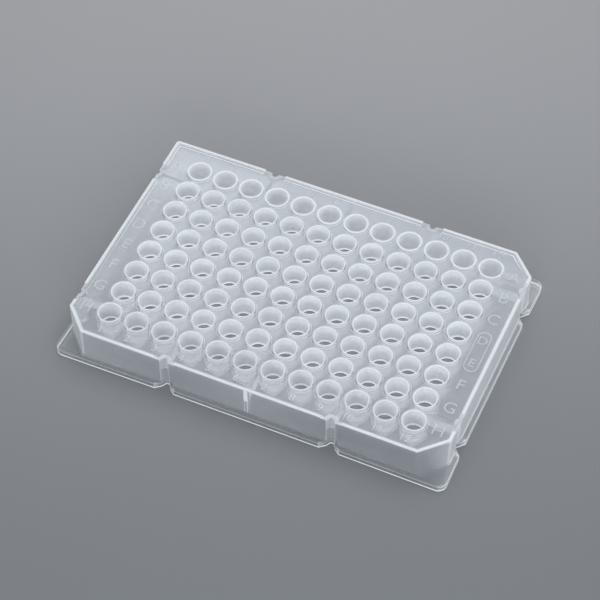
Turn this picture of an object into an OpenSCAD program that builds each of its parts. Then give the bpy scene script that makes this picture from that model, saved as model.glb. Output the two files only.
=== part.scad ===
// Ninety-six-well microplate with V-bottom wells, moulded in one piece.
// X runs along the columns 1 to 12, Y from row H to row A, Z up.
// The origin is the centre of the footprint, on the surface it stands on.

/* [Footprint] */
// Length of the base flange, along the columns
base_l = 127.76; // [127.4:0.01:128.1]
// Width of the base flange, along the rows
base_w = 85.48; // [85.1:0.01:85.9]
// Corner radius of the base flange
base_r = 2.8; // [1.6:0.1:3.2]
// Height of the base flange
flange_h = 2.3; // [1.9:0.1:3]
// Width of the foot that the flange stands on
foot_w = 1.4; // [1:0.1:1.6]
// Depth of the stacking recess inside the foot
recess_h = 1.2; // [0.8:0.1:1.5]

/* [Skirt and deck] */
// Setback of the skirt's outer face from the flange edge, at the two short sides
set_x = 1.83; // [1.7:0.01:1.9]
// Setback of the skirt's outer face from the flange edge, at the two long sides
set_y = 1.49; // [1.4:0.01:1.6]
// Wall thickness of the skirt
wall_t = 1.0; // [0.8:0.05:1.2]
// Height of the deck's top face
deck_z = 13.5; // [13:0.1:14]
// Thickness of the deck
deck_t = 1.0; // [0.8:0.05:1.2]
// Length of each leg of the three cut corners
cut_c = 7.6; // [6:0.1:8]
// Corner radius of the one uncut corner, at A1
a1_r = 1.0; // [0.6:0.1:1.2]
// Width of the raised lip around the deck
lip_w = 1.0; // [0.8:0.05:1.2]
// Height of the raised lip above the deck
lip_h = 0.4; // [0.3:0.05:0.6]

/* [Notches] */
// Distance of the grip notches from the middle of each side
notch_at = 27; // [26:0.5:28]
// Offset of every notch along its side, anticlockwise
notch_off = 0.3; // [0:0.1:0.5]
// Width of a long-side notch where it opens in the flange's edge
notch_w = 6.3; // [5.6:0.1:7]
// Width of a side notch where it opens in the flange's edge
side_notch_w = 6.0; // [5.4:0.1:6.6]
// Width of a long-side notch where it opens in the skirt
groove_w = 2.7; // [2.4:0.1:3.4]
// Width of a side notch where it opens in the skirt
side_groove_w = 2.0; // [1.6:0.1:2.4]
// Width of the flat at the bottom of a notch
notch_tip = 1.0; // [0.8:0.1:1.4]
// Depth of a long-side notch from the flange's edge
notch_d = 3.0; // [2.6:0.05:3.1]
// Depth of a side notch from the flange's edge
side_notch_d = 2.5; // [2.3:0.05:2.6]
// Gap in the lip at each notch
lip_gap = 6.7; // [6.4:0.1:8]
// Size of the bevel on the deck's edge, in that gap
gap_bevel = 0.35; // [0.2:0.05:0.4]

/* [Wells] */
// Distance between well centres
pitch = 9; // [8.9:0.01:9.1]
// Height of the wells' rims
rim_z = 14.35; // [14.2:0.05:14.6]
// Inner radius of a well at its rim
well_r = 3.35; // [3.2:0.05:3.4]
// Inner radius where the straight wall turns into the cone
knee_r = 3.2; // [3.05:0.05:3.3]
// Height of that turn
knee_z = 8.2; // [7:0.05:9]
// Height of the cone's tip inside
tip_z = 3.45; // [3.2:0.05:4]
// Radius of the small flat at the cone's tip
tip_r = 0.5; // [0.3:0.05:0.8]
// Outer radius of a well at its rim
rim_ro = 4.08; // [3.9:0.01:4.15]
// Bevel on the inner and outer edges of a well's rim
rim_bevel = 0.12; // [0.08:0.02:0.16]
// Outer radius of a well within the deck
deck_ro = 4.2; // [4.1:0.01:4.25]
// Outer radius at the turn into the cone
knee_ro = 4.0; // [3.8:0.01:4.1]
// Plastic under the cone's tip
tip_t = 0.85; // [0.6:0.05:1]

/* [Ribs] */
// Thickness of the ribs at the notches
rib_t = 1.1; // [1:0.02:1.3]
// Thickness of the rib in the middle of each long side
mid_rib_t = 1.5; // [1.4:0.05:1.8]
// Height of the ribs' lower edge
rib_z = 8.2; // [7.5:0.1:10]
// Width of the shallow strip that runs on down the long walls below the middle ribs
strip_w = 1.3; // [1.1:0.05:1.35]
// How far that strip stands out from the wall's inner face
strip_d = 0.35; // [0.2:0.05:0.4]
// Height where the strip starts to narrow to a point
strip_z = 4.2; // [3.5:0.1:5]

/* [Hidden] */
$fn = 64;
eps = 0.5;
hx = base_l / 2;            // half footprint
hy = base_w / 2;
wx = hx - set_x;            // outer face of the skirt
wy = hy - set_y;
cols = 12;
rows = 8;
last_x = pitch * (cols - 1) / 2;   // outermost well centres
last_y = pitch * (rows - 1) / 2;

// Plan of the skirt, moved in by t: three corners cut at 45 degrees,
// the fourth (A1, at -X +Y) square with a small radius
module outline(t) {
    x = wx - t;
    y = wy - t;
    c = cut_c - t * (2 - sqrt(2));
    r = max(a1_r - t, 0.4);
    polygon([[-x + c, -y], [x - c, -y], [x, -y + c], [x, y - c],
             [x - c, y], [-x + r, y], [-x, y - r], [-x, -y + c]]);
    translate([-x + r, y - r]) circle(r);
}

// Rounded rectangle of the flange
module flange_plan() {
    square([base_l - 2 * base_r, base_w], center = true);
    square([base_l, base_w - 2 * base_r], center = true);
    for (sx = [-1, 1], sy = [-1, 1])
        translate([sx * (hx - base_r), sy * (hy - base_r)]) circle(base_r);
}

// Plan of a notch that opens towards -Y at y = 0, is m wide at the skirt, set back by s, and is d deep.
// Its faces turn steeper just before the skirt.
module notch_plan(w, m, s, d, tip) {
    y = s - 0.12;
    h = m / 2 + 0.12 * (m - tip) / 2 / (d - s);
    k = (w / 2 - h) / y;
    polygon([[-w / 2 - k * eps, -eps], [w / 2 + k * eps, -eps], [h, y],
             [tip / 2, d], [-tip / 2, d], [-h, y]]);
}

// Inward bulge that keeps a thickness t behind a notch, from the depth y0 on
module bulge_plan(m, s, d, tip, t, y0) {
    k = (m - tip) / 2 / (d - s);
    n = t * sqrt(1 + k * k) - k * t;
    open = tip / 2 + n + k * (d + t - y0);
    polygon([[-open, y0], [open, y0], [tip / 2 + n, d + t], [-tip / 2 - n, d + t]]);
}

module at_long_notches() {
    for (s = [-1, 1], x = [-notch_at, notch_at])
        rotate([0, 0, s < 0 ? 0 : 180]) translate([x + notch_off, -hy, 0]) children();
}

module at_side_notches() {
    for (s = [-1, 1], y = [-notch_at, notch_at])
        rotate([0, 0, s * 90]) translate([y + notch_off, -hx, 0]) children();
}

// Skirt, deck and flange as one block, before hollowing
module block() {
    linear_extrude(flange_h) flange_plan();
    linear_extrude(deck_z) outline(0);
    difference() {
        linear_extrude(deck_z + lip_h) outline(0);
        translate([0, 0, deck_z]) linear_extrude(lip_h + eps) outline(lip_w);
        at_long_notches()
            translate([-lip_gap / 2, -eps, deck_z]) cube([lip_gap, set_y + lip_w + 2 * eps, lip_h + eps]);
        at_side_notches()
            translate([-lip_gap / 2, -eps, deck_z]) cube([lip_gap, set_x + lip_w + 2 * eps, lip_h + eps]);
    }
}

// Space under the deck
module hollow() {
    difference() {
        translate([0, 0, -eps]) linear_extrude(deck_z - deck_t + eps) outline(wall_t);
        at_long_notches()
            translate([0, 0, -2 * eps]) linear_extrude(deck_z)
                bulge_plan(groove_w, set_y, notch_d, notch_tip, wall_t, set_y + wall_t / 2);
        at_side_notches()
            translate([0, 0, -2 * eps]) linear_extrude(deck_z)
                bulge_plan(side_groove_w, set_x, side_notch_d, notch_tip, wall_t, set_x + wall_t / 2);
    }
}

// Shallow recess inside the foot, which follows the notches
module recess() {
    difference() {
        translate([0, 0, -eps]) linear_extrude(recess_h + eps)
            square([base_l - 2 * foot_w, base_w - 2 * (foot_w + 0.05)], center = true);
        at_long_notches()
            translate([0, 0, -2 * eps]) linear_extrude(deck_z)
                bulge_plan(groove_w, set_y, notch_d, notch_tip, 0.8 * wall_t, foot_w / 2);
        at_side_notches()
            translate([0, 0, -2 * eps]) linear_extrude(deck_z)
                bulge_plan(side_groove_w, set_x, side_notch_d, notch_tip, 0.8 * wall_t, foot_w / 2);
    }
}

// Prism that bevels the deck's edge in the lip's gap at a notch, from a wall set back by d
module gap_cut(d) {
    b = gap_bevel;
    translate([-lip_gap / 2, d, deck_z]) rotate([90, 0, 90]) linear_extrude(lip_gap)
        polygon([[-eps, -b - eps], [b + eps, eps], [-eps, eps]]);
}

module shell() {
    difference() {
        block();
        hollow();
        recess();
        at_long_notches() gap_cut(set_y);
        at_side_notches() gap_cut(set_x);
        at_long_notches()
            translate([0, 0, -eps]) linear_extrude(deck_z + lip_h + 2 * eps)
                notch_plan(notch_w, groove_w, set_y, notch_d, notch_tip);
        at_side_notches()
            translate([0, 0, -eps]) linear_extrude(deck_z + lip_h + 2 * eps)
                notch_plan(side_notch_w, side_groove_w, set_x, side_notch_d, notch_tip);
    }
}

// Solid body of one well
module well_body() {
    rotate_extrude()
        polygon([[0, tip_z - tip_t], [tip_r + 0.25, tip_z - tip_t], [knee_ro, knee_z - 0.1],
                 [deck_ro, deck_z - deck_t / 2], [rim_ro, rim_z - rim_bevel],
                 [rim_ro - rim_bevel, rim_z], [0, rim_z]]);
}

// Cavity of one well, open at the top
module well_cavity() {
    rotate_extrude()
        polygon([[0, tip_z], [tip_r, tip_z], [knee_r, knee_z], [well_r, rim_z - rim_bevel],
                 [well_r + rim_bevel, rim_z], [well_r + rim_bevel, rim_z + eps], [0, rim_z + eps]]);
}

module at_wells() {
    for (c = [0 : cols - 1], r = [0 : rows - 1])
        translate([c * pitch - last_x, r * pitch - last_y, 0]) children();
}

// Ribs under the deck, from the skirt to between the outermost wells
module ribs() {
    h = deck_z - deck_t / 2 - rib_z;
    for (s = [-1, 1]) rotate([0, 0, s < 0 ? 0 : 180]) {
        for (x = [-notch_at, notch_at])
            translate([x + notch_off - rib_t / 2, -hy + notch_d + wall_t / 2, rib_z])
                cube([rib_t, hy - notch_d - wall_t / 2 - last_y, h]);
        translate([-mid_rib_t / 2, -wy + wall_t / 2, rib_z])
            cube([mid_rib_t, wy - wall_t / 2 - last_y, h]);
    }
    for (s = [-1, 1], y = [-notch_at, notch_at]) rotate([0, 0, s * 90])
        translate([y + notch_off - rib_t / 2, -hx + side_notch_d + wall_t / 2, rib_z])
            cube([rib_t, hx - side_notch_d - wall_t / 2 - last_x, h]);
}

// Shallow strips down the inside of the long walls, below the middle ribs, ending in a point
module strips() {
    d = strip_d + wall_t / 2;
    for (s = [-1, 1]) rotate([0, 0, s < 0 ? 0 : 180])
        translate([0, -wy + wall_t + strip_d, 0]) rotate([90, 0, 0]) linear_extrude(d)
            polygon([[-strip_w / 2, rib_z + eps], [-strip_w / 2, strip_z], [0, recess_h + 0.3],
                     [strip_w / 2, strip_z], [strip_w / 2, rib_z + eps]]);
}

module well_plate() {
    color([0.88, 0.9, 0.91, 0.6])
    difference() {
        union() {
            shell();
            at_wells() well_body();
            ribs();
            strips();
        }
        at_wells() well_cavity();
    }
}

well_plate();
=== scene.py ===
import math

import bpy
import numpy as np
from mathutils import Matrix, Vector
from mathutils.geometry import delaunay_2d_cdt


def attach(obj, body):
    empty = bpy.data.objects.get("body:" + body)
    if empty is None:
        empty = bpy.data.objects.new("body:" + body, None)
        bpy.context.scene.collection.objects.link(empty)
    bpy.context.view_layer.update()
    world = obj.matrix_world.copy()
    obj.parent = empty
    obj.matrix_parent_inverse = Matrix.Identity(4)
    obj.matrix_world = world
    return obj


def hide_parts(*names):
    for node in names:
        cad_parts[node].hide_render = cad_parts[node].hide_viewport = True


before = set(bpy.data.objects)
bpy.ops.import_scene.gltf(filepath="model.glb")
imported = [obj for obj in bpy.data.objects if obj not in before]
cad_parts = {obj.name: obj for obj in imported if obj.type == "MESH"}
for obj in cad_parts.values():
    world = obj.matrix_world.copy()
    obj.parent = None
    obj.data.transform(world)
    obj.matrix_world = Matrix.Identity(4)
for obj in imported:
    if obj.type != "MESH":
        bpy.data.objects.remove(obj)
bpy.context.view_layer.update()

# ---------------------------------------------------------------------------
# The plate, in millimetres: origin at the centre of the footprint, X along the
# columns 1 to 12, Y from row H to row A, Z up.
# ---------------------------------------------------------------------------
HX, HY = 63.88, 42.74          # half footprint
SET_X, SET_Y = 1.83, 1.49      # setback of the skirt from the flange's edge
WALL = 1.0                     # skirt thickness
FLANGE_H = 2.3
DECK_Z, DECK_T = 13.5, 1.0
CUT = 7.6                      # legs of the three cut corners
PITCH = 9.0
LAST_X, LAST_Y = 49.5, 31.5
NOTCH_AT, NOTCH_OFF = 27.0, 0.3
TIP = 0.5                      # half width of a notch's bottom
NOTCH = {"long": (3.15, 3.0, SET_Y), "side": (3.0, 2.50, SET_X)}   # half mouth, depth, setback
GROOVE = {"long": 1.35, "side": 1.0}                          # half width where a notch opens in the skirt
GAP = 3.35                     # half gap in the lip at a notch
SEG = 40                       # segments round a well
FLOOR = 0.985                   # paper brightness for the light in the scene
TINT = (0.945, 0.99, 1.04)      # colour of the light
# share of the light one face stops, by region
M_DECK, M_WALL, M_FLANGE, M_RIM, M_WELL, M_TUBE, M_CONE = 0.36, 0.16, 0.11, 0.10, 0.62, 0.05, 0.21
# painted shade: how grey the deck's faces are drawn
GREY_SHADE_DECK = 0.32
LEAN = 0.75                     # how far the shading normals of bright edges lean up


class Node:
    """A point of an outline, which can be asked for at any inset."""

    def __init__(self, v, a, b, r=0.0, t=0.5, tag="", scale=1.0):
        self.v, self.a, self.b = np.array(v, float), np.array(a, float), np.array(b, float)
        self.r, self.t, self.tag, self.scale = r, t, tag, scale
        self.cross = self.a[0] * self.b[1] - self.a[1] * self.b[0]
        self.beside = None                                           # the corner a plain point keeps its distance from

    def at(self, d):
        a, b = self.a, self.b
        na, nb = np.array([-a[1], a[0]]), np.array([-b[1], b[0]])    # inward, left of the path
        if self.beside is not None:
            return self.v + self.beside * d
        if abs(self.cross) < 1e-9:
            return self.v + na * d
        m = (na + nb) / (1 + na @ nb)
        v = self.v + m * d
        if self.r <= 0:
            return v
        left = self.cross > 0                                        # an outer corner of the material
        r = max(self.r - d, 0.012) if left else self.r + d
        r = max(r, 0.012)
        s = 1 if left else -1
        c = v + s * m * r
        ang0 = math.atan2(-s * na[1], -s * na[0])
        turn = math.atan2(self.cross, a @ b)
        ang = ang0 + turn * self.t
        return c + r * np.array([math.cos(ang), math.sin(ang)])


def outline(points):
    """Nodes of a closed outline. points are (x, y, radius, steps, tag), and for a plain point beside
    a corner, which way that corner lies."""
    nodes, n = [], len(points)
    P = [np.array(p[:2], float) for p in points]

    def way(i):
        d = P[(i + 1) % n] - P[i % n]
        return d / np.linalg.norm(d)
    for i, p in enumerate(points):
        a = P[i] - P[i - 1]
        b = P[(i + 1) % n] - P[i]
        a, b = a / np.linalg.norm(a), b / np.linalg.norm(b)
        r, steps, tag = p[2], p[3], p[4]
        if r > 0:
            for k in range(tag == "edge_out", steps + (tag != "edge_in")):
                nodes.append(Node(P[i], a, b, r, k / steps, tag))
        else:
            nodes.append(Node(P[i], a, b, 0, 0.5, tag))
            if len(p) > 5:
                a, b = way(i + p[5] - 1), way(i + p[5])
                nodes[-1].beside = np.array([-a[1] - b[1], a[0] + b[0]]) / (1 + a @ b)
    return nodes


SIDES = {   # u along the path, v inward from the flange's edge
    "front": (lambda u, v: (u, -HY + v), HX, "long"),
    "right": (lambda u, v: (HX - v, u), HY, "side"),
    "back": (lambda u, v: (-u, HY - v), HX, "long"),
    "left": (lambda u, v: (-HX + v, -u), HY, "side"),
}


NOTCHES = (-NOTCH_AT + NOTCH_OFF, NOTCH_AT + NOTCH_OFF)       # along each side, anticlockwise


def half_at(kind, v):
    (m, d, s), w = NOTCH[kind], GROOVE[kind]
    return w + (m - w) / s * (s - v) if v < s else TIP + (w - TIP) / (d - s) * (d - v)


def bulge(kind, t, v0):
    """Half width at v0, depth and half width at the bottom of a bulge t thick behind a notch."""
    m, d, s = NOTCH[kind]
    k = (GROOVE[kind] - TIP) / (d - s)
    n = t * (math.sqrt(1 + k * k) - k)
    return TIP + n + k * (d + t - v0), d + t, TIP + n


def flange_outline():
    pts = []
    for side, (at, half, kind) in SIDES.items():
        m, d, s = NOTCH[kind]
        pts.append((*at(-half, 0), 2.8, 8, "corner"))
        for c in NOTCHES:
            hs = half_at(kind, SHARE[kind])
            hh = half_at(kind, s - 0.03)
            pts += [(*at(c - m - 0.5, 0), 0, 0, "plain"),
                    (*at(c - m, 0), 0.3, 3, "mouth"), (*at(c - hh, s - 0.03), 0, 0, "hold"),
                    (*at(c - hs, SHARE[kind]), 0, 0, "share"),
                    (*at(c - TIP, d), 0.2, 2, "tip"), (*at(c + TIP, d), 0.2, 2, "tip"),
                    (*at(c + hs, SHARE[kind]), 0, 0, "share"),
                    (*at(c + hh, s - 0.03), 0, 0, "hold"), (*at(c + m, 0), 0.3, 3, "mouth"),
                    (*at(c + m + 0.5, 0), 0, 0, "plain")]
    return outline(pts)


EDGE_R = {"long": 0.30, "side": 0.26}                  # rounding of the skirt's corner at a notch


def share_depth(kind):
    """Depth at which the skirt's rounded corner meets the notch's face, and flange and skirt join."""
    m, d, s = NOTCH[kind]
    turn = math.atan2(1, (GROOVE[kind] - TIP) / (d - s))
    return s + EDGE_R[kind] * math.tan(turn / 2) * math.sin(turn)


SHARE = {k: share_depth(k) for k in NOTCH}


def skirt_corner(side):
    """Corner of the skirt at the start of a side, cut or square, as path points."""
    at, half, kind = SIDES[side]
    s = SET_X if kind == "side" else SET_Y                # setback across this side
    o = SET_Y if kind == "side" else SET_X                # setback along it
    start = -half + o
    if side == "left":                                    # A1, the one square corner
        x, y = at(start, s)
        return [(x + 2.2, y, 0, 0, "plain", 1), (x, y, 1.0, 5, "corner"), (x, y - 2.2, 0, 0, "plain", -1)]
    # the cut runs from the side before this one
    x, y = at(start, s)
    prev = {"front": "left", "right": "front", "back": "right"}[side]
    pat, phalf, pkind = SIDES[prev]
    ps = SET_X if pkind == "side" else SET_Y
    pend = phalf - (SET_Y if pkind == "side" else SET_X)
    a, b = np.array(pat(pend - CUT, ps)), np.array(at(start + CUT, s))
    k = 0.95 * (b - a) / np.linalg.norm(b - a)
    first, last = {"front": ("cut_dim", "cut_lit"), "right": ("cut_mid", "cut_lit")}.get(side, ("cut_dim", "cut_dim"))
    return [(*pat(pend - CUT - 0.95, ps), 0, 0, "plain", 1), (*a, 0.6, 3, first), (*(a + k), 0, 0, "plain", -1),
            (*(b - k), 0, 0, "plain", 1), (*b, 0.6, 3, last), (*at(start + CUT + 0.95, s), 0, 0, "plain", -1)]


def skirt_outline():
    pts = []
    for side, (at, half, kind) in SIDES.items():
        m, d, s = NOTCH[kind]
        pts += skirt_corner(side)
        for c in NOTCHES:
            hw, hs = half_at(kind, s), half_at(kind, SHARE[kind])
            pts += [(*at(c - GAP - 0.16, s), 0, 0, "lip"), (*at(c - GAP, s), 0, 0, "gap"),
                    (*at(c - hw - 0.42, s), 0, 0, "near", 1),
                    (*at(c - hw, s), EDGE_R[kind], 3, "edge_in"),
                    (*at(c - hs, SHARE[kind]), 0, 0, "share"),
                    (*at(c - TIP, d), 0.2, 2, "tip"), (*at(c + TIP, d), 0.2, 2, "tip"),
                    (*at(c + hs, SHARE[kind]), 0, 0, "share"),
                    (*at(c + hw, s), EDGE_R[kind], 3, "edge_out"),
                    (*at(c + hw + 0.42, s), 0, 0, "near", -1),
                    (*at(c + GAP, s), 0, 0, "gap"), (*at(c + GAP + 0.16, s), 0, 0, "lip")]
    return outline(pts)


def inner_outline():
    pts = []
    t = WALL
    c2 = CUT - t * (2 - math.sqrt(2))
    for side, (at, half, kind) in SIDES.items():
        s = (SET_X if kind == "side" else SET_Y) + t
        o = (SET_Y if kind == "side" else SET_X) + t
        start = -half + o
        if side == "left":
            pts.append((*at(start, s), 0.6, 3, "corner"))
        else:
            prev = {"front": "left", "right": "front", "back": "right"}[side]
            pat, phalf, pkind = SIDES[prev]
            ps = (SET_X if pkind == "side" else SET_Y) + t
            pend = phalf - (SET_Y if pkind == "side" else SET_X) - t
            pts += [(*pat(pend - c2, ps), 0.5, 2, "cut"), (*at(start + c2, s), 0.5, 2, "cut")]
        for c in NOTCHES:
            w, dep, tip = bulge(kind, t, s)
            pts += [(*at(c - w, s), 0.3, 2, "bulge"), (*at(c - tip, dep), 0.3, 2, "bulge"),
                    (*at(c + tip, dep), 0.3, 2, "bulge"), (*at(c + w, s), 0.3, 2, "bulge")]
    return outline(pts)


def recess_outline():
    pts = []
    for side, (at, half, kind) in SIDES.items():
        s = 1.40 if kind == "side" else 1.45
        o = 1.45 if kind == "side" else 1.40
        pts.append((*at(-half + o, s), 1.2, 5, "corner"))
        t = 0.8
        for c in NOTCHES:
            w, dep, tip = bulge(kind, t, s)
            pts += [(*at(c - w, s), 0.3, 2, "bulge"), (*at(c - tip, dep), 0.3, 2, "bulge"),
                    (*at(c + tip, dep), 0.3, 2, "bulge"), (*at(c + w, s), 0.3, 2, "bulge")]
    return outline(pts)


class Skin:
    """Vertices in millimetres, faces, and for each vertex how the plastic looks there: glow, a painted highlight on
    edges (above one, a painted glow: emission standing in for light led down a wall and let out), milk the share of
    light a face stops, and how grey that share is, which is painted shade."""

    def __init__(self):
        self.v, self.f, self.glow, self.milk, self.dull = [], [], [], [], []

    def row(self, xy, z, glow=0.0, milk=0.12, dull=0.0):
        """A loop of new vertices; z is one height or one for each."""
        z = np.broadcast_to(z, (len(xy),))
        i = len(self.v)
        self.v += [(float(p[0]), float(p[1]), float(h)) for p, h in zip(xy, z)]
        self.glow += [float(g) for g in np.broadcast_to(glow, (len(xy),))]
        self.milk += [float(g) for g in np.broadcast_to(milk, (len(xy),))]
        self.dull += [float(g) for g in np.broadcast_to(dull, (len(xy),))]
        return list(range(i, i + len(xy)))

    def strip(self, low, high, flip=False):
        """Faces between two loops that run the same way, seen from outside with low below."""
        n = len(low)
        for i in range(n):
            j = (i + 1) % n
            q = [low[i], low[j], high[j], high[i]]
            q = [k for n_, k in enumerate(q) if k != q[n_ - 1]]
            if len(q) < 3:
                continue
            self.f.append(tuple(reversed(q)) if flip else tuple(q))

    def fill(self, outer, holes, up):
        """A flat face with holes, as triangles."""
        loops = [outer] + holes
        idx = [k for lp in loops for k in lp]
        where, coords, edges = {}, [], []
        for k in idx:
            if k not in where:
                where[k] = len(coords)
                coords.append(Vector(self.v[k][:2]))
        back = {n: k for k, n in where.items()}
        for lp in loops:
            edges += [(where[lp[i]], where[lp[(i + 1) % len(lp)]]) for i in range(len(lp))]
        V, E, F, ov, oe, of = delaunay_2d_cdt(coords, edges, [], 0, 1e-7, True)
        if len(V) != len(coords):
            new = [tuple(round(c, 4) for c in V[i]) for i, o in enumerate(ov) if not len(o)]
            raise RuntimeError(f"a flat face's loops meet: {len(V)} points from {len(coords)}, at {new[:6]}")
        m = [back[o[0]] for o in ov]
        mid = np.array([(V[t[0]] + V[t[1]] + V[t[2]]) / 3 for t in F])
        odd = np.zeros(len(F), bool)                      # inside an odd number of loops
        for lp in loops:
            P = np.array([self.v[k][:2] for k in lp])
            Q = np.roll(P, -1, axis=0)
            box = ((mid > P.min(0)) & (mid < P.max(0))).all(1)
            x, y = mid[box, 0][:, None], mid[box, 1][:, None]
            over = (P[:, 1] > y) != (Q[:, 1] > y)
            with np.errstate(divide="ignore", invalid="ignore"):
                cross = P[:, 0] + (y - P[:, 1]) * (Q[:, 0] - P[:, 0]) / (Q[:, 1] - P[:, 1])
            odd[box] ^= ((over & (x < cross)).sum(1) % 2).astype(bool)
        for keep, t in zip(odd, F):
            if not keep:
                continue
            a, b, c = (V[i] for i in t)
            area = (b[0] - a[0]) * (c[1] - a[1]) - (b[1] - a[1]) * (c[0] - a[0])
            t = [m[i] for i in t]
            if (area > 0) != up:
                t.reverse()
            self.f.append(tuple(t))

    def fan(self, loop, centre, up):
        c = self.row([centre[:2]], centre[2])[0]
        n = len(loop)
        for i in range(n):
            t = (loop[i], loop[(i + 1) % n], c)
            self.f.append(t if up else tuple(reversed(t)))


def painted_deck_light(x, y):
    """Painted light and shade on the deck, as the share of light it stops: drawn clearest, so darker, at its right end,
    its corners and its front, and milkier, so lighter, towards the back.
    """
    f = 1 - 0.52 * min(max((x - 50) / 7, 0), 1) + 0.38 * y / 40
    for cx, cy in ((-60, 40), (-54, -40), (54, -40)):
        f -= 0.35 * math.exp(-((x - cx) ** 2 + (y - cy) ** 2) / 90)
    return max(f, 0.4)


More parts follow.
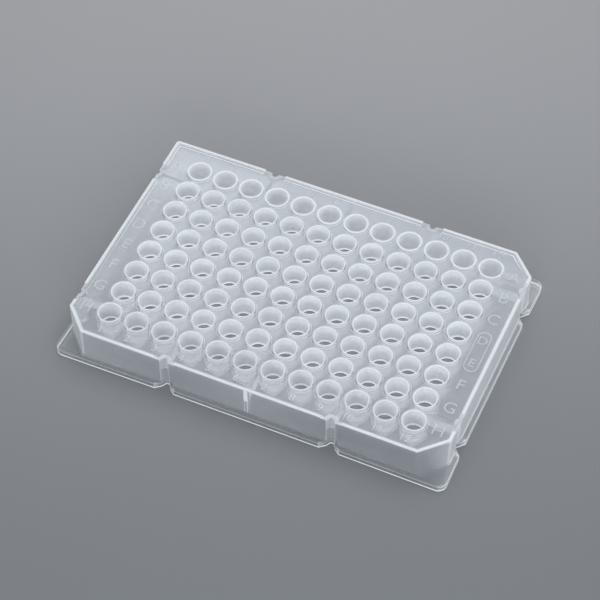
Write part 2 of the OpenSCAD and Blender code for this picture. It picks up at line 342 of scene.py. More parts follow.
def build_body():
    S = Skin()
    F, W, I, R = flange_outline(), skirt_outline(), inner_outline(), recess_outline()

    # --- flange: foot up to the ledge
    shared = {"share", "tip"}
    rows = []
    vert = [{"mouth": 0.8, "tip": 0.25}.get(n.tag, 0.0) for n in F]     # upright edges
    right = lambda xy, a, b: [a if p[0] > 62.0 else b for p in xy]       # painted light: the right side is drawn milkier and less grey, so lighter
    # painted glow along the flange's foot: these rows are drawn bright, and above one they emit
    for z, d, b in ((0.0, 0.28, 0.3), (0.0, 0.16, 1.0), (0.05, 0.05, 1.3), (0.16, 0.0, 1.55), (0.60, 0.0, 1.45)):
        xy = [n.at(d) for n in F]
        rows.append(S.row(xy, z, [max(g, b) for g in vert], right(xy, 0.3, M_FLANGE), right(xy, 0.1, 0.6)))
    # painted highlight along the flange's top edge, stronger on the right side
    for z, d, b in ((0.76, 0.0, 0.0), (1.86, 0.0, 0.0), (1.98, 0.0, 0.5), (2.12, 0.03, 0.6),
                    (2.20, 0.10, 0.6), (2.25, 0.24, 0.0)):
        still = shared | {"hold"}
        xy = [n.at(0 if n.tag in still else d) for n in F]
        zz = [FLANGE_H if (n.tag in still and d == 0.24) else z for n in F]
        rows.append(S.row(xy, zz, [max(g, b * (1.6 if p[0] > 63 else 1.0)) for g, p in zip(vert, xy)],
                          right(xy, 0.3, M_FLANGE), right(xy, 0.1, 0.6)))
    for a, b in zip(rows, rows[1:]):
        S.strip(a, b)
    flange_low, flange_top = rows[0], rows[-1]

    # --- skirt: from the ledge up over the lip
    def weight(n):                       # 1 on the skirt, 0 on a notch's faces, which the flange shares
        return {"share": 0.0, "tip": 0.0, "edge_in": 1 - n.t, "edge_out": n.t}.get(n.tag, 1.0)
    w = [weight(n) for n in W]
    arcs = {"near", "edge_in", "edge_out"}
    foot = [(-0.55, 2.30), (-0.30, 2.34), (-0.13, 2.47), (-0.03, 2.75), (0.0, 3.10), (0.0, 8.2), (0.0, 8.8), (0.0, 12.9)]
    lip = [(0.0, 13.66), (0.03, 13.80), (0.11, 13.88), (0.22, 13.90), (0.48, 13.90), (0.80, 13.90), (0.92, 13.86), (0.98, 13.74),
           (1.02, 13.58), (1.10, 13.50)]
    gap = [(0.0, 13.08), (0.05, 13.20), (0.18, 13.36), (0.34, 13.47), (0.48, 13.50), (0.56, 13.50), (0.64, 13.50), (0.78, 13.50),
           (0.92, 13.50), (1.10, 13.50)]
    cut = [(0.0, 13.30), (0.02, 13.38), (0.06, 13.45), (0.13, 13.49), (0.22, 13.50), (0.30, 13.50), (0.40, 13.50), (0.60, 13.50),
           (0.80, 13.50), (1.00, 13.50)]
    rows = []
    upright = [{"edge_in": 0.5, "edge_out": 0.5, "cut_lit": 1.0, "cut_mid": 0.12, "cut_dim": 0.15, "corner": 0.2,
                "tip": 0.25, "share": 0.3}.get(n.tag, 0.0)
               for n in W]
    for d, z in foot:
        xy = [n.at(0 if n.tag in arcs | shared else d) for n in W]
        gl = upright if z > 3 else [0.3 * g for g in upright]
        lit = {"tip", "share"}                               # the grooves' faces, and on the right their whole height
        gl = [max(g, (0.75 if n.at(0)[0] > 61 and z > 2.5 else 0.55 if z > 8.5 else 0.15) * (n.tag in lit)) for g, n in zip(gl, W)]
        if 2.3 < z < 3:                                      # the right skirt's foot catches the light
            gl = [max(g, 0.8 * (p[0] > 61.5 and abs(p[1]) < 33)) for g, p in zip(gl, xy)]
        rows.append((xy, [z] * len(W), gl))
    lip_glow = (0.15, 0.9, 1.0, 1.0, 0.7, 0.5, 0.4, 0.2, 0.1, 0.0)
    front_glow = (0.10, 0.8, 1.0, 0.9, 0.45, 0.25, 0.1, 0.0, 0.0, 0.0)
    gap_glow = (0.0, 0.35, 0.6, 0.4, 0.1, 0.0, 0.0, 0.0, 0.0, 0.0)
    for a, b, c, lg, fg, gg in zip(lip, gap, cut, lip_glow, front_glow, gap_glow):
        xy, zz, low = [], [], a[0] < 0.05
        for n, k in zip(W, w):
            if n.tag in {"gap"} | arcs | shared:
                d = b[0] * k + c[0] * (1 - k)
                z = b[1] * k + c[1] * (1 - k)
            else:
                d, z = a
            xy.append(n.at(d))
            zz.append(z)
        shows = [gg * (0.3 if n.tag in shared | arcs else 1) if n.tag in {"gap"} | arcs | shared
                 else fg if q[1] < -39 else lg for n, q in zip(W, xy)]
        rows.append((xy, zz, [max(u * (low or z_ < 13.45), g) for u, g, z_ in zip(upright, shows, zz)]))
    # vertices of the lowest row in the notches are the flange's own
    share_of = {}
    for i, n in enumerate(F):
        if n.tag in shared:
            share_of[tuple(np.round(n.at(0), 5))] = flange_top[i]
    loops = []
    first = []
    for i, n in enumerate(W):
        key = tuple(np.round(n.at(0), 5))
        if n.tag in shared:
            first.append(share_of[key])
        else:
            # painted light: on the right side this row is drawn lighter too
            side = rows[0][0][i][0] > 61.5
            first.append(S.row([rows[0][0][i]], rows[0][1][i], 0.0, 0.3 if side else M_FLANGE, 0.1 if side else 0.6)[0])
    loops.append(first)
    # painted light and shade on the skirt: its right wall is drawn milkier and not grey, so lighter; along the other
    # walls the milk falls from left to right and the grey is least at the left
    for xy, zz, gl in rows[1:]:
        loops.append(S.row(xy, zz, gl, [M_WALL * (2.5 if p[0] > 61.0 else 1.0 - 0.45 * p[0] / 60) if h < 13.2 else 1.4 * M_DECK
                                        for p, h in zip(xy, zz)], [0.0 if p[0] > 61.0 or h > 13.2 else 0.5 - 0.35 * min(max((-25 - p[0]) / 30, 0), 1)
                           for p, h in zip(xy, zz)]))
    for a, b in zip(loops, loops[1:]):
        S.strip(a, b)
    for d, g in ((1.40, 0.0), (1.50, 1.0), (1.76, 1.0)):                 # painted highlight: a light line along the far walls' inner edge, at the back and the back of the left side
        xy = [n.at(d) for n in W]
        loops.append(S.row(xy, 13.5, [g * (p[1] > 38.0 or (p[0] < -58 and p[1] > 10)) * (n.tag not in {"gap"} | arcs | shared)
                                      for n, p in zip(W, xy)],
                           [M_DECK * painted_deck_light(*p) for p in xy], GREY_SHADE_DECK))
        S.strip(loops[-2], loops[-1])
    xy = [n.at(1.9) for n in W]
    deck_edge = S.row(xy, 13.5, 0.0, [M_DECK * painted_deck_light(*p) for p in xy], GREY_SHADE_DECK)
    S.strip(loops[-1], deck_edge)

    # --- ledge: one flat face between each pair of notches
    def runs(nodes, loop):
        out, run, n = [], [], len(nodes)
        start = next(i for i in range(n) if nodes[i].tag == "share" and nodes[i - 1].tag == "tip")
        for q in range(n + 1):
            i = (start + q) % n
            tag = nodes[i].tag
            if tag == "tip":
                if run:
                    out.append(run)
                run = []
            else:
                run.append(loop[i])
        if len(run) > 1:
            out.append(run)
        return out
    fr, wr = runs(F, flange_top), runs(W, loops[0])
    fr = [r for r in fr if len(r) > 2]
    wr = [r for r in wr if len(r) > 2]
    assert len(fr) == len(wr) == 8, (len(fr), len(wr))
    for a, b in zip(fr, wr):
        assert a[0] == b[0] and a[-1] == b[-1]
        S.fill(a + list(reversed(b[1:-1])), [], True)

    # --- underside: recess inside the foot, skirt's inner face
    # painted shade: the recess under the foot is drawn fully grey, and the skirt's inner face grey below the deck, with
    # a painted highlight along its top corner
    r_rows = [S.row([n.at(d) for n in R], z, 0.0, M_FLANGE, 1.0) for z, d in ((0.0, -0.12), (0.04, -0.03), (0.14, 0.0), (1.2, 0.0))]
    for a, b in zip(r_rows, r_rows[1:]):
        S.strip(a, b, flip=True)
    S.fill(flange_low, [r_rows[0]], False)
    i_rows = [S.row([n.at(d) for n in I], z, g, M_WALL if z < 12.3 else M_DECK, 0.8 if z < 12.2 else GREY_SHADE_DECK) for z, d, g in
              ((1.2, -0.10, 0.3), (1.23, -0.03, 0.3), (1.32, 0.0, 0), (3.0, 0.0, 0), (11.8, 0.0, 0), (12.05, 0.0, 0.3),
               (12.30, 0.06, 0.8), (12.45, 0.22, 0.8), (12.5, 0.45, 0.2), (12.5, 0.62, 0.0))]
    for a, b in zip(i_rows, i_rows[1:]):
        S.strip(a, b, flip=True)
    S.fill(r_rows[-1], [i_rows[0]], False)

    # --- wells
    top = [(4.42, 13.50), (4.26, 13.56), (4.18, 13.72), (4.11, 14.18), (4.04, 14.30), (3.93, 14.35),
           (3.70, 14.35), (3.49, 14.35), (3.39, 14.30), (3.345, 14.19), (3.205, 8.52), (3.15, 8.26), (3.03, 8.00),
           (2.95, 7.87), (0.72, 3.92), (0.30, 3.49)]
    # painted highlight down each well's profile; above one it is a painted glow, emission at the knee of the well
    top_glow = (0.0, 0.5, 0.1, 0, 0.1, 0.35, 0.9, 0.6, 0.4, 0.05, 0.4, 1.85, 1.7, 0.0, 0, 0)
    top_milk = [M_DECK] * 2 + [M_RIM * 2] * 2 + [M_RIM] * 3 + [M_WELL] * 5 + [M_CONE] * 4
    low_milk = [M_DECK] + [M_TUBE] * 2 + [M_CONE] * 3
    low = [(4.30, 12.50), (4.17, 12.34), (4.01, 8.30), (3.90, 7.95), (1.18, 2.95), (0.72, 2.60)]
    ang = np.arange(SEG) * 2 * math.pi / SEG + math.pi / SEG
    cs = np.column_stack([np.cos(ang), np.sin(ang)])
    up_holes, low_holes = [], []
    for r in range(8):
        for c in range(12):
            o = np.array([c * PITCH - LAST_X, LAST_Y - r * PITCH])
            k = painted_deck_light(*o)
            # painted highlight on the rims: full on row A, less on the end columns, least elsewhere
            rim_highlight = 1.0 if r == 0 else 0.85 if c in (0, 11) else 0.6
            g_top = [g * (rim_highlight if 3.4 < a < 4.1 else 1) for g, (a, z) in zip(top_glow, top)]
            thick = 1.35 if 0 < r < 5 else 1.15 if r in (5, 6) else 1.0      # painted light: the wells among others are drawn milkier, so their insides look lighter
            m_top = [m * (thick if a < 3.6 else 1) for m, (a, z) in zip(top_milk, top)]
            if r == 7:                                     # the front row's rings would shine through the deck
                g_top[10:13] = [0.05, 1.6, 1.4]
            # row A: painted highlight on its rims, and its well walls and cones drawn lighter
            if r == 0:
                g_top[4:8] = [0.5, 0.9, 1.0, 0.9]
                g_top[10:] = [0.3] * 6
                m_top = top_milk[:-4] + [0.75] * 4
            lp = [S.row(o + cs * a, z, g, m * (k if m == M_DECK else 1), GREY_SHADE_DECK if m == M_DECK else 0.0)
                  for (a, z), g, m in zip(top, g_top, m_top)]
            for a, b in zip(lp, lp[1:]):
                S.strip(a, b)
            S.fan(lp[-1], (*o, 3.45), True)
            up_holes.append(lp[0])
            lp = [S.row(o + cs * a, z, 0.0, m * (k if m == M_DECK else 1), GREY_SHADE_DECK if m == M_DECK else 0.0)
                  for (a, z), m in zip(low, low_milk)]
            for a, b in zip(lp, lp[1:]):
                S.strip(a, b, flip=True)
            S.fan(lp[-1], (*o, 2.60), False)
            low_holes.append(lp[0])
    S.fill(deck_edge, up_holes, True)
    S.fill(i_rows[-1], low_holes, False)
    return S


def to_mesh(name, verts, faces):
    me = bpy.data.meshes.new(name)
    me.from_pydata([(x / 1000, y / 1000, z / 1000) for x, y, z in verts], [], faces)
    me.validate()
    me.update()
    return me


def check_closed(me):
    """Every edge has exactly two faces."""
    n = np.zeros(len(me.edges), int)
    le = np.empty(len(me.loops), int)
    me.loops.foreach_get("edge_index", le)
    np.add.at(n, le, 1)
    return int((n != 2).sum())


# ---------------------------------------------------------------------------
# Small solids that the moulding takes in: ribs, pilasters, raised lettering
# ---------------------------------------------------------------------------
def prism(S, xy, z0, z1):
    """Closed prism over a convex outline that runs counter-clockwise."""
    a, b = S.row(xy, z0, 0.35, 0.3), S.row(xy, z1, 0.35, 0.3)
    S.strip(a, b)
    S.f += [tuple(reversed(a)), tuple(b)]


def turned(pts, q):
    """Plan points turned by q quarter turns."""
    c, s = [(1, 0), (0, 1), (-1, 0), (0, -1)][q % 4]
    return [(x * c - y * s, x * s + y * c) for x, y in pts]


def ribs():
    S = Skin()
    for q in (0, 2):
        for x in NOTCHES:
            t = 0.55
            prism(S, turned([(x - t, -39.4), (x + t, -39.4), (x + t, -LAST_Y), (x - t, -LAST_Y)], q), 8.2, 12.9)
        t = 0.72
        prism(S, turned([(-t, -40.8), (t, -40.8), (t, -LAST_Y), (-t, -LAST_Y)], q), 8.2, 12.9)
    for q in (1, 3):
        for y in NOTCHES:
            t = 0.55
            prism(S, turned([(y - t, -60.9), (y + t, -60.9), (y + t, -LAST_X), (y - t, -LAST_X)], q), 8.2, 12.9)
    return S


def pilasters():
    """Shallow strips down the inside of the long walls, below the middle ribs, ending in a point."""
    S = Skin()
    for sg in (1, -1):
        prof = [(-0.66, 8.6), (-0.62, 4.2), (0.0, 1.3), (0.62, 4.2), (0.66, 8.6)]
        y0, y1 = -40.7, -39.9
        a = [(sg * x, sg * y0, z) for x, z in prof]
        b = [(sg * x, sg * y1, z) for x, z in prof]
        i = S.row([p[:2] for p in a], [p[2] for p in a], 0.3, 0.3)
        j = S.row([p[:2] for p in b], [p[2] for p in b], 0.3, 0.3)
        n = len(prof)
        for k in range(n):
            m = (k + 1) % n
            S.f.append((i[k], i[m], j[m], j[k]))
        S.f += [tuple(reversed(i)), tuple(j)]
    return S


def glyph_loops(text):
    """Outlines of a word in the built-in font, as closed loops round its middle; the cap height is 1."""
    cu = bpy.data.curves.new("glyph", "FONT")
    cu.body, cu.resolution_u, cu.align_x = text, 5, "CENTER"
    ob = bpy.data.objects.new("glyph", cu)
    bpy.context.scene.collection.objects.link(ob)
    me = ob.evaluated_get(bpy.context.evaluated_depsgraph_get()).to_mesh()
    co = np.array([v.co[:2] for v in me.vertices])
    key, inv = np.unique(np.round(co, 5), axis=0, return_inverse=True)
    inv = inv.reshape(-1)
    seen = {}
    for p in me.polygons:
        vs = [int(inv[k]) for k in p.vertices]
        for a, b in zip(vs, vs[1:] + vs[:1]):
            if a != b:
                seen[(a, b)] = seen.get((a, b), 0) + 1
    nxt = {a: b for (a, b) in seen if (b, a) not in seen}
    loops = []
    while nxt:
        a, b = nxt.popitem()
        lp = [a]
        while b != lp[0]:
            lp.append(b)
            b = nxt.pop(b)
        lp = key[lp]
        while True:                                       # no two points closer than a hair
            d = np.linalg.norm(np.roll(lp, -1, axis=0) - lp, axis=1)
            if d.min() > 0.018 or len(lp) < 5:
                break
            lp = np.delete(lp, int(d.argmin()), axis=0)
        loops.append(lp)
    bpy.data.objects.remove(ob)
    bpy.data.curves.remove(cu)
    area = sum(shoelace(lp) for lp in loops)
    if area < 0:
        loops = [lp[::-1] for lp in loops]
    return loops


def shoelace(p):
    x, y = p[:, 0], p[:, 1]
    return 0.5 * float(np.sum(x * np.roll(y, -1) - y * np.roll(x, -1)))


def inset(p, d):
    """Moves a loop's points to the left of its path by d."""
    a = p - np.roll(p, 1, axis=0)
    b = np.roll(p, -1, axis=0) - p
    a /= np.linalg.norm(a, axis=1)[:, None]
    b /= np.linalg.norm(b, axis=1)[:, None]
    na, nb = np.column_stack([-a[:, 1], a[:, 0]]), np.column_stack([-b[:, 1], b[:, 0]])
    m = (na + nb) / np.maximum(1 + (na * nb).sum(1), 0.5)[:, None]
    return p + m * d


CAP = None


def letter(S, text, x, y, height, rise=0.2):
    """Raised text on the deck, centred at x, y, with a soft top edge."""
    global CAP
    if CAP is None:
        CAP = max(lp[:, 1].max() for lp in glyph_loops("H"))
    k = height / CAP
    loops = glyph_loops(text)
    lo = np.min([lp.min(0) for lp in loops], axis=0)
    hi = np.max([lp.max(0) for lp in loops], axis=0)
    mid = np.array([(lo[0] + hi[0]) / 2, CAP / 2])
    loops = [(lp - mid) * k + (x, y) for lp in loops]
    outer = [lp for lp in loops if shoelace(lp) > 0]
    inner = [lp for lp in loops if shoelace(lp) < 0]
    z = (DECK_Z - 0.3, DECK_Z + rise - 0.06, DECK_Z + rise)
    for o in outer:
        lo, hi = o.min(0), o.max(0)
        mine = [h for h in inner if (h.min(0) > lo).all() and (h.max(0) < hi).all()]
        rows = []
        for lp in [o] + mine:
            look = (M_DECK, GREY_SHADE_DECK)
            r = [S.row(lp, z[0], 0.1, *look), S.row(lp, z[1], 0.3, *look), S.row(inset(lp, 0.035), z[2], 0.3, *look)]
            for a, b in zip(r, r[1:]):
                S.strip(a, b)
            rows.append(r)
        S.fill(rows[0][-1], [r[-1] for r in rows[1:]], True)
        S.fill(rows[0][0], [r[0] for r in rows[1:]], False)


def stadium(S, x, y, w, h, line, rise=0.2):
    """Raised frame with round ends."""
    def loop(d):
        r = w / 2 - d
        s = h / 2 - w / 2
        t = np.linspace(0, math.pi, 17)
        up = np.column_stack([x + r * np.cos(t), y + s + r * np.sin(t)])
        dn = np.column_stack([x - r * np.cos(t), y - s - r * np.sin(t)])
        return np.vstack([up, dn])
    z0, z1, z2 = DECK_Z - 0.3, DECK_Z + rise - 0.06, DECK_Z + rise
    look = (M_DECK, GREY_SHADE_DECK)
    o = [S.row(loop(0), z0, 0.1, *look), S.row(loop(0), z1, 0.3, *look), S.row(loop(0.05), z2, 0.3, *look)]
    i = [S.row(loop(line), z0, 0.1, *look), S.row(loop(line), z1, 0.3, *look), S.row(loop(line - 0.05), z2, 0.3, *look)]
    for a, b in zip(o, o[1:]):
        S.strip(a, b)
    for a, b in zip(i, i[1:]):
        S.strip(a, b, flip=True)
    S.fill(o[-1], [i[-1]], True)
    S.fill(o[0], [i[0]], False)


def lettering():
    S = Skin()
    for r, ch in enumerate("ABCDEFGH"):
        y = LAST_Y - r * PITCH
        letter(S, ch, -57.4, y, 3.9)
        letter(S, ch, 57.2, y, 3.9 if ch not in "DE" else 3.0)
    for c in range(12):
        x = c * PITCH - LAST_X
        letter(S, str(c + 1), x, -37.8, 2.5)
        letter(S, str(c + 1), x, 38.0, 2.5)
    stadium(S, 57.2, 0.0, 4.6, 16.0, 0.4)
    return S


# ---------------------------------------------------------------------------
# One closed moulding
# ---------------------------------------------------------------------------
BOW = {"front": 0.42, "right": 0.65, "back": 0.4, "left": 0.5}     # how far each skirt has sunk in, mid-side


def bow(v):
    """The skirt of a moulded plate sinks in a little between its corners, most at the foot."""
    v = np.array(v, float)
    x, y, z = v.T
    low = np.clip((DECK_Z - z) / DECK_Z, 0, 1)
    ramp = lambda t, a, b: np.clip((t - a) / (b - a), 0, 1) ** 2 * (3 - 2 * np.clip((t - a) / (b - a), 0, 1))
    along_x = np.clip(1 - (x / 58.0) ** 2, 0, 1)
    along_y = np.clip(1 - (y / 38.0) ** 2, 0, 1)
    dy = BOW["front"] * along_x * low * ramp(-y, 36.0, 39.5) - BOW["back"] * along_x * low * ramp(y, 36.0, 39.5)
    dx = BOW["left"] * along_y * low * ramp(-x, 55.0, 60.0) - BOW["right"] * along_y * low * ramp(x, 55.0, 60.0)
    return np.column_stack([x + dx, y + dy, z])


def make_plate():
    parts = [build_body(), ribs(), pilasters(), lettering()]
    plate, helpers, known = None, [], {}
    for name, part in zip(("plate_moulding", "ribs", "pilasters", "lettering"), parts):
        me = to_mesh(name, bow(part.v), part.f)
        if check_closed(me):
            raise RuntimeError(name + " isn't closed")
        co = np.empty(len(me.vertices) * 3)
        me.vertices.foreach_get("co", co)
        for c, look in zip(co.reshape(-1, 3), zip(part.glow, part.milk, part.dull)):
            known[tuple(np.round(c * 1e5).astype(int))] = look
        ob = bpy.data.objects.new(name, me)
        bpy.context.scene.collection.objects.link(ob)
        if plate is None:
            plate = ob
            continue
        helpers.append(ob)
        mod = plate.modifiers.new("take_in_" + name, "BOOLEAN")
        mod.operation, mod.object, mod.solver = "UNION", ob, "MANIFOLD"
    me = bpy.data.meshes.new_from_object(plate.evaluated_get(bpy.context.evaluated_depsgraph_get()))
    plate.modifiers.clear()
    for ob in helpers:
        bpy.data.objects.remove(ob)
    if check_closed(me):
        raise RuntimeError("the moulding isn't closed")
    co = np.empty(len(me.vertices) * 3)
    me.vertices.foreach_get("co", co)
    got = []
    for k, (x, y, z) in zip(np.round(co.reshape(-1, 3) * 1e5).astype(int), co.reshape(-1, 3) * 1000):
        new = (0.0, M_DECK * painted_deck_light(x, y), GREY_SHADE_DECK) if 12.45 < z < 13.75 else (0.0, M_WALL, 0.0)
        got.append(known.get(tuple(k), new))
    for n, name in enumerate(("glow", "milk", "dull")):
        a = me.attributes.new(name, "FLOAT", "POINT")
        a.data.foreach_set("value", np.array([g[n] for g in got], float))
    # faces of the ribs and pilasters, which lie inside the moulding's hollow
    co = np.empty(len(me.vertices) * 3)
    me.vertices.foreach_get("co", co)
    vi, start = np.empty(len(me.loops), int), np.empty(len(me.polygons), int)
    me.loops.foreach_get("vertex_index", vi)
    me.polygons.foreach_get("loop_start", start)
    P = co.reshape(-1, 3)[vi] * 1000
    lo, hi = np.minimum.reduceat(P, start), np.maximum.reduceat(P, start)
    within = lambda k, a, b: (lo[:, k] > a) & (hi[:, k] < b)
    rib = np.zeros(len(me.polygons), bool)
    for c, t in ((NOTCHES[0], 0.57), (0.0, 0.74), (NOTCHES[1], 0.57)):
        for sg, a, b in ((1, -40.3, 1 - LAST_Y), (-1, LAST_Y - 1, 40.3)):
            rib |= within(0, sg * c - t, sg * c + t) & within(1, a, b) & within(2, 8.15, 12.6)
    for c in NOTCHES:
        for sg, a, b in ((1, LAST_X - 1, 61.1), (-1, -61.1, 1 - LAST_X)):
            rib |= within(1, sg * c - 0.57, sg * c + 0.57) & within(0, a, b) & within(2, 8.15, 12.6)
    strip = within(0, -0.7, 0.7) & (within(1, 39.0, 40.3) | within(1, -40.3, -39.0)) & within(2, 1.25, 8.7)
    a = me.attributes.new("rib", "FLOAT", "FACE")
    a.data.foreach_set("value", rib * 0.4 + strip * 0.15)
    me.polygons.foreach_set("use_smooth", np.ones(len(me.polygons), bool))
    me.set_sharp_from_angle(angle=math.radians(38))
    plate.data = me
    mod = plate.modifiers.new("weighted", "WEIGHTED_NORMAL")
    mod.keep_sharp, mod.weight = True, 60
    me = bpy.data.meshes.new_from_object(plate.evaluated_get(bpy.context.evaluated_depsgraph_get()))
    plate.modifiers.clear()
    # a bright edge gathers light mostly from above, whatever way its faces point, so its normals lean up
    nrm, vi = np.empty(len(me.loops) * 3), np.empty(len(me.loops), int)
    me.corner_normals.foreach_get("vector", nrm)
    me.loops.foreach_get("vertex_index", vi)
    nrm, g = nrm.reshape(-1, 3), np.array([min(g[0], 1.0) * (g[1] < 0.42) for g in got])[vi]     # not inside wells
    lean = (LEAN * g * (nrm[:, 2] > -0.2))[:, None]
    nrm = nrm * (1 - lean) + np.array([0, 0, 1.0]) * lean
    nrm /= np.linalg.norm(nrm, axis=1)[:, None]
    me.normals_split_custom_set([tuple(n) for n in nrm])
    plate.data = me
    me.name = "plate_moulding"
    return plate


# ---------------------------------------------------------------------------
# Materials
# ---------------------------------------------------------------------------
class Nodes:
    def __init__(self, name):
        self.m = bpy.data.materials.new(name)
        self.m.use_nodes = True
        self.t = self.m.node_tree
        self.t.nodes.clear()

    def __call__(self, kind, **inputs):
        n = self.t.nodes.new("ShaderNode" + kind)
        for k, v in inputs.items():
            if k.startswith("_"):
                setattr(n, k[1:], v)
                continue
            s = n.inputs[int(k[1:])] if k[0] == "i" and k[1:].isdigit() else n.inputs[k.replace("_", " ")]
            if hasattr(v, "is_output") or isinstance(v, bpy.types.NodeSocket):
                self.t.links.new(v, s)
            else:
                s.default_value = v
        return n

    def math(self, op, a, b=0.0, clamp=False):
        return self("Math", _operation=op, _use_clamp=clamp, i0=a, i1=b).outputs[0]


def plastic():
    """Natural polypropylene: milky, see-through where thin, bright where an edge pipes the light out; that brightness
    is a painted highlight, with a painted glow of emission at its strongest, and greyed places are painted shade.
    """
    N = Nodes("plate_plastic")
    obj = N("TexCoord").outputs["Object"]
    glow = N("Attribute", _attribute_name="glow").outputs["Fac"]
    painted_glow = N.math("SUBTRACT", N.math("MAXIMUM", glow, 1.0), 1.0)        # painted glow: emission standing in for light led down a wall and let out at its end
    glow = N.math("MINIMUM", glow, 1.0)
    milk = N("Attribute", _attribute_name="milk").outputs["Fac"]
    rib = N("Attribute", _attribute_name="rib").outputs["Fac"]
    # where the middle ribs run into the long walls the plastic is thicker, so it is milkier there; it is also painted
    # lighter, with no grey and a little emission
    sep = N("SeparateXYZ", Vector=obj)
    px, py, pz = (N.math("ABSOLUTE", o) for o in sep.outputs)
    def band(v, lo, hi, soft=0.00015):
        up = N("MapRange", _clamp=True, Value=v, From_Min=lo - soft, From_Max=lo + soft).outputs[0]
        down = N("MapRange", _clamp=True, Value=v, From_Min=hi - soft, From_Max=hi + soft, To_Min=1.0, To_Max=0.0).outputs[0]
        return N.math("MULTIPLY", up, down)
    ends = N.math("MULTIPLY", band(px, -1.0, 0.00066), band(pz, 0.0082, 0.0134))
    ends = N.math("MULTIPLY", ends, band(py, 0.0405, 1.0))
    rib = N.math("ADD", rib, N.math("MULTIPLY", ends, 0.9))
    # and the two edges of the strip below them, down to the flange, milkier and painted lighter the same way
    edges = N.math("MULTIPLY", band(px, 0.00040, 0.00062, 0.0001), band(pz, 0.0026, 0.0082))
    edges = N.math("MULTIPLY", edges, band(py, 0.0405, 1.0))
    rib = N.math("ADD", rib, N.math("MULTIPLY", edges, 0.55))
    # painted glow: a little emission on those rib ends and strip edges
    painted_glow = N.math("ADD", painted_glow, N.math("ADD", N.math("MULTIPLY", ends, 0.09), N.math("MULTIPLY", edges, 0.11)))
    cloud = N("TexNoise", Vector=obj, Scale=55.0, Detail=3.0, Roughness=0.55).outputs["Fac"]
    fine = N("TexNoise", Vector=obj, Scale=900.0, Detail=2.0, Roughness=0.6).outputs["Fac"]
    face = N("LayerWeight", Blend=0.5).outputs["Facing"]
    # share of the light a face stops: more where it is seen at a slant and at its edges
    slant = N.math("MULTIPLY", N.math("POWER", face, 3.0), 0.55)
    milk = N.math("MULTIPLY", milk, N.math("ADD", N.math("MULTIPLY", N.math("SUBTRACT", cloud, 0.5), 0.7), 1.0))
    a = N.math("ADD", N.math("ADD", milk, slant), rib)
    a = N.math("ADD", a, N.math("MULTIPLY", glow, 0.8), clamp=True)
    bump = N("Bump", Strength=0.06, Distance=0.0004, Height=N.math("ADD", cloud, N.math("MULTIPLY", fine, 0.15)))
    nrm = bump.outputs[0]
    # painted shade: faces are drawn greyer where this attribute says, except on the bright edges
    dull = N("Attribute", _attribute_name="dull").outputs["Fac"]
    dull = N.math("MULTIPLY", dull, N.math("SUBTRACT", 1.0, N.math("MAXIMUM", ends, edges)))
    white = N("Mix", _data_type="RGBA", i0=N.math("MULTIPLY", dull, N.math("SUBTRACT", 1.0, glow)),
              i6=(0.988, 0.994, 0.999, 1), i7=(0.38, 0.42, 0.47, 1)).outputs[2]
    dif = N("BsdfDiffuse", Color=white, Roughness=0.3, Normal=nrm)
    tra = N("BsdfTranslucent", Color=white, Normal=nrm)
    body = N("MixShader", i0=0.5, i1=dif.outputs[0], i2=tra.outputs[0])
    clear = N("BsdfTransparent", Color=(1, 1, 1, 1))
    milky = N("MixShader", i0=a, i1=clear.outputs[0], i2=body.outputs[0])
    gloss = N("BsdfGlossy", Color=(1, 1, 1, 1), Roughness=0.35, Normal=nrm)
    fres = N("Fresnel", IOR=1.49, Normal=nrm)
    out = N("MixShader", i0=N.math("MULTIPLY", fres.outputs[0], 0.35), i1=milky.outputs[0], i2=gloss.outputs[0])
    # painted glow: emission where the glow runs above one, though the plate is no lamp
    led = N("Emission", Color=(0.93, 0.965, 1.0, 1), Strength=N.math("MULTIPLY", painted_glow, 0.6))
    both = N("AddShader", i0=out.outputs[0], i1=led.outputs[0])
    N("OutputMaterial", Surface=both.outputs[0])
    return N.m


def floor_paint():
    """Pale grey paper with painted shade: a little darker towards the front and the sides."""
    N = Nodes("floor_paint")
    obj = N("TexCoord").outputs["Object"]
    sep = N("SeparateXYZ", Vector=obj)
    x, y = sep.outputs[0], sep.outputs[1]
    t = N.math("ADD", N.math("MULTIPLY", x, -0.405), N.math("MULTIPLY", y, 0.914))      # towards the back
    u = N.math("ADD", N.math("MULTIPLY", x, 0.914), N.math("MULTIPLY", y, 0.405))       # across
    ramp = N("ValToRGB", Fac=N.math("ADD", N.math("MULTIPLY", t, 2.5), 0.5, clamp=True))
    cr = ramp.color_ramp
    cr.interpolation = "B_SPLINE"
    stops = ((0.10, 0.215), (0.25, 0.222), (0.375, 0.240), (0.50, 0.277), (0.625, 0.317), (0.75, 0.348), (0.90, 0.362))
    while len(cr.elements) < len(stops):
        cr.elements.new(0.5)
    for el, (at, v) in zip(cr.elements, stops):
        el.position = at
        w = (at - 0.1) / 0.8                                      # painted light colour: bluer towards the front
        tint = [0.923 + 0.049 * w, 1.004 - 0.018 * w, 1.072 - 0.030 * w]
        el.color = [v * k * FLOOR / t for k, t in zip(tint, TINT)] + [1]
    n = N("TexNoise", Vector=obj, Scale=14.0, Detail=4.0, Roughness=0.6).outputs["Fac"]
    # painted shade towards the sides, with a faint random mottle
    soft = N.math("SUBTRACT", 1.0, N.math("MULTIPLY", N.math("MULTIPLY", u, u), 4.0), clamp=True)
    soft = N.math("MULTIPLY", N.math("MAXIMUM", soft, 0.85), N.math("ADD", N.math("MULTIPLY", n, 0.03), 0.985))
    col = N("VectorMath", _operation="SCALE", i0=ramp.outputs[0])
    N.t.links.new(soft, col.inputs["Scale"])
    b = N("BsdfDiffuse", Color=col.outputs[0], Roughness=0.5)
    N("OutputMaterial", Surface=b.outputs[0])
    return N.m


plate = make_plate()
plate.data.materials.clear()
plate.data.materials.append(plastic())
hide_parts("well_plate")
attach(plate, "root")

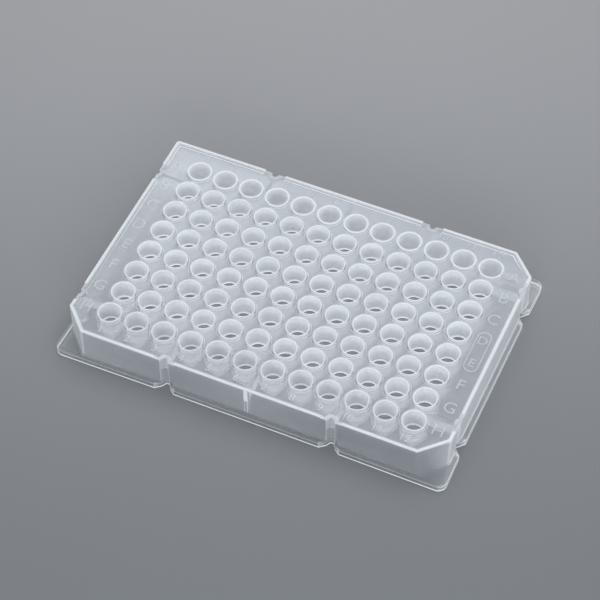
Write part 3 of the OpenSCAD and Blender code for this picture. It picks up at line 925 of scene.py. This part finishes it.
# ---------------------------------------------------------------------------
# Floor, light and camera
# ---------------------------------------------------------------------------
me = bpy.data.meshes.new("floor")
me.from_pydata([(-3, -3, 0), (3, -3, 0), (3, 3, 0), (-3, 3, 0)], [], [(0, 1, 2, 3)])
floor = bpy.data.objects.new("floor", me)
floor.location.z = -0.0003
bpy.context.scene.collection.objects.link(floor)
me.materials.append(floor_paint())


def softbox(name, at, aim, size, power, color=(1, 1, 1)):
    L = bpy.data.lights.new(name, "AREA")
    L.shape, L.size, L.size_y, L.energy, L.color = "RECTANGLE", size[0], size[1], power, color
    o = bpy.data.objects.new(name, L)
    o.location = at
    o.rotation_mode = "QUATERNION"
    o.rotation_quaternion = (Vector(aim) - Vector(at)).to_track_quat("-Z", "Y")
    bpy.context.scene.collection.objects.link(o)
    return o


softbox("front", (0.50, -1.05, 0.36), (0, 0, 0), (1.0, 0.4), 4.6, [a * b for a, b in zip((1.0, 0.995, 0.99), TINT)])
softbox("key", (0.10, 0.45, 1.25), (0, 0.0, 0), (1.4, 1.0), 9.8, [a * b for a, b in zip((1.0, 0.995, 0.99), TINT)])
world = bpy.data.worlds.new("studio")
world.use_nodes = True
world.node_tree.nodes["Background"].inputs[0].default_value = [a * b for a, b in zip((0.97, 0.985, 1.0), TINT)] + [1]
world.node_tree.nodes["Background"].inputs[1].default_value = 0.68
bpy.context.scene.world = world

# camera: azimuth and elevation round a point on the floor
AZ, EL, ROLL, DIST, AIM, FOCAL = 23.765, 50.857, 0.184, 0.68225, (-0.003672, 0.006854, 0.0), 2189.75
a, e, r = (math.radians(t) for t in (AZ, EL, ROLL))
back = Vector((math.sin(a) * math.cos(e), -math.cos(a) * math.cos(e), math.sin(e)))
right = (-back).cross(Vector((0, 0, 1))).normalized()
up = right.cross(-back)
right, up = right * math.cos(r) + up * math.sin(r), up * math.cos(r) - right * math.sin(r)
cam_data = bpy.data.cameras.new("camera")
cam_data.sensor_width, cam_data.sensor_fit = 36.0, "HORIZONTAL"
cam_data.lens = FOCAL * 36.0 / 600.0
cam_data.clip_start, cam_data.clip_end = 0.01, 20.0
camera = bpy.data.objects.new("camera", cam_data)
camera.matrix_world = Matrix((
    (right.x, up.x, back.x, AIM[0] + back.x * DIST),
    (right.y, up.y, back.y, AIM[1] + back.y * DIST),
    (right.z, up.z, back.z, AIM[2] + back.z * DIST),
    (0, 0, 0, 1)))
bpy.context.scene.collection.objects.link(camera)
bpy.context.scene.camera = camera

scene = bpy.context.scene
scene.view_settings.view_transform = "Standard"
scene.view_settings.look = "None"
scene.cycles.max_bounces = 32
scene.cycles.diffuse_bounces = 24
scene.cycles.glossy_bounces = 4
scene.cycles.transmission_bounces = 8
scene.cycles.transparent_max_bounces = 40
scene.cycles.use_denoising = True
